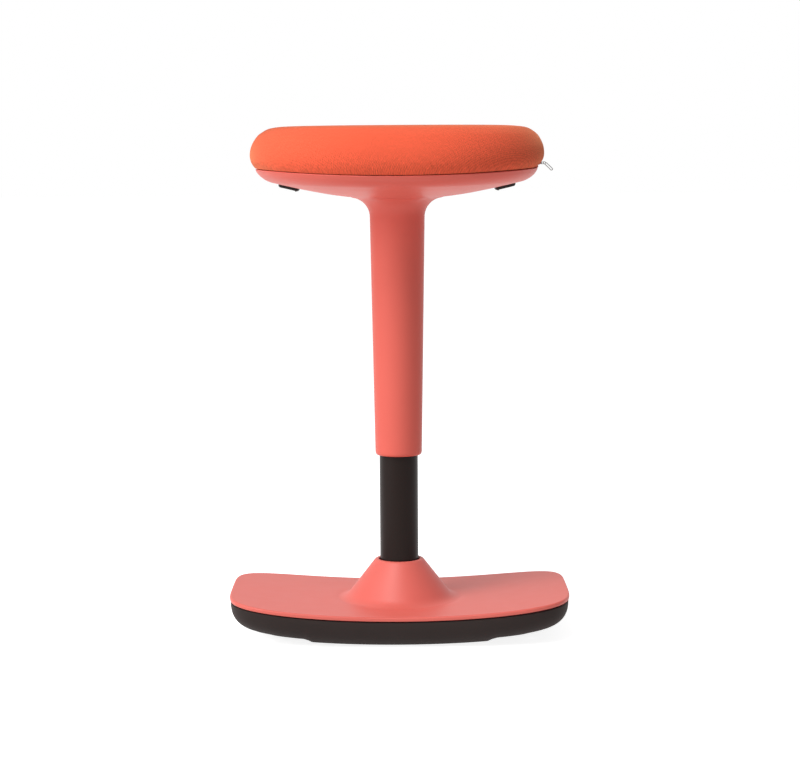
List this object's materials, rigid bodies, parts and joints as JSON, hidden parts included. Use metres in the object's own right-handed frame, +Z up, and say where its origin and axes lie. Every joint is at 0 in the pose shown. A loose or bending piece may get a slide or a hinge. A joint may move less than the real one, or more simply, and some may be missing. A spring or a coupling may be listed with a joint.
{
  "type": "wobble stool",
  "caption": "Height-adjustable wobble stool: padded fabric seat on a moulded shell and long tapered sleeve, over a gas spring column on a weighted, curved rocker base with a rubber sole.",
  "frame": {"origin": "on the floor, under the middle of the rocker base and of the column", "axes": "+Z up along the column, X from side to side along the long rocking direction, -Y towards the front"},
  "size_m": [0.4394, 0.33, 0.6566],
  "materials": {
    "coral_plastic": "satin moulded coral plastic",
    "orange_fabric": "woven twill, orange-red",
    "black_rubber": "matte",
    "black_paint": "matte powder coat",
    "black_plastic": "fine moulded grain",
    "pale_plastic": "natural acetal",
    "cast_iron": "as cast",
    "steel": "zinc plated",
    "bright_rod": "ground and hard chromed",
    "zip_metal": "dull nickel",
    "zip_tape": "woven tape, in the cover's colour",
    "foam": "moulded polyurethane foam",
    "plywood": "plain plywood"
  },
  "bodies": {
    "base": {"base_shell": "coral_plastic", "rocker_sole": "black_rubber", "sole_screw_1": "steel", "sole_screw_2": "steel", "sole_screw_3": "steel", "sole_screw_4": "steel", "ballast_plate": "cast_iron", "column_hub": "steel", "hub_screw_1": "steel", "hub_screw_2": "steel", "hub_screw_3": "steel", "hub_screw_4": "steel", "standpipe": "black_paint", "guide_bush": "pale_plastic", "bearing_lower_race": "steel"},
    "rod": {"ball_cage": "steel", "bearing_upper_race": "steel", "bump_stop": "black_rubber", "piston_rod": "bright_rod", "rod_clip": "steel", "piston": "black_plastic"},
    "seat": {"gas_cylinder": "black_paint", "rod_guide": "black_plastic", "valve_body": "steel", "seat_shell": "coral_plastic", "mechanism_plate": "steel", "taper_socket": "steel", "plate_screw_1": "steel", "plate_screw_2": "steel", "plate_screw_3": "steel", "plate_screw_4": "steel", "pivot_pin_1": "steel", "pivot_pin_2": "steel", "cushion_clip_1": "black_plastic", "cushion_clip_2": "black_plastic", "cushion_clip_3": "black_plastic", "cushion_clip_4": "black_plastic", "cushion_clip_5": "black_plastic", "cushion_clip_6": "black_plastic", "seat_board": "plywood", "seat_foam": "foam", "seat_cover": "orange_fabric", "zip_chain": "zip_tape", "zip_slider": "zip_metal"},
    "release_pin": {"release_pin": "steel"},
    "lever_right": {"lever_right": "steel", "finger_pad_right": "black_plastic"},
    "lever_left": {"lever_left": "steel", "finger_pad_left": "black_plastic"},
    "zip_pull": {"zip_pull": "zip_metal"}
  },
  "joints": [
    {"name": "seat_swivel", "type": "hinge", "parent": "base", "child": "rod", "pos_m": [0, 0, 0.0229], "axis": [0, 0, 1], "continuous": true},
    {"name": "seat_lift", "type": "slide", "parent": "rod", "child": "seat", "axis": [0, 0, 1], "range_m": [-0.09, 0.11]},
    {"name": "lever_right_pull", "type": "hinge", "parent": "seat", "child": "lever_right", "pos_m": [0.04, 0, 0.5825], "axis": [0, -1, 0], "range_deg": [0, 3.45], "stiffness_Nm_per_rad": 12, "springref_deg": -11.46},
    {"name": "lever_left_pull", "type": "hinge", "parent": "seat", "child": "lever_left", "pos_m": [-0.04, 0, 0.5825], "axis": [0, 1, 0], "range_deg": [0, 3.5]},
    {"name": "pin_press", "type": "slide", "parent": "seat", "child": "release_pin", "axis": [0, 0, -1], "range_m": [0, 0.00245]},
    {"name": "zip_pull_swing", "type": "hinge", "parent": "seat", "child": "zip_pull", "pos_m": [0.18877, 0, 0.60663], "axis": [0, 0, 1], "range_deg": [-80, 80]}
  ],
  "couplings": [
    {"joint": "lever_left_pull", "follows": "lever_right_pull", "ratio": 1},
    {"joint": "pin_press", "follows": "lever_right_pull", "m_per_rad": 0.04}
  ]
}
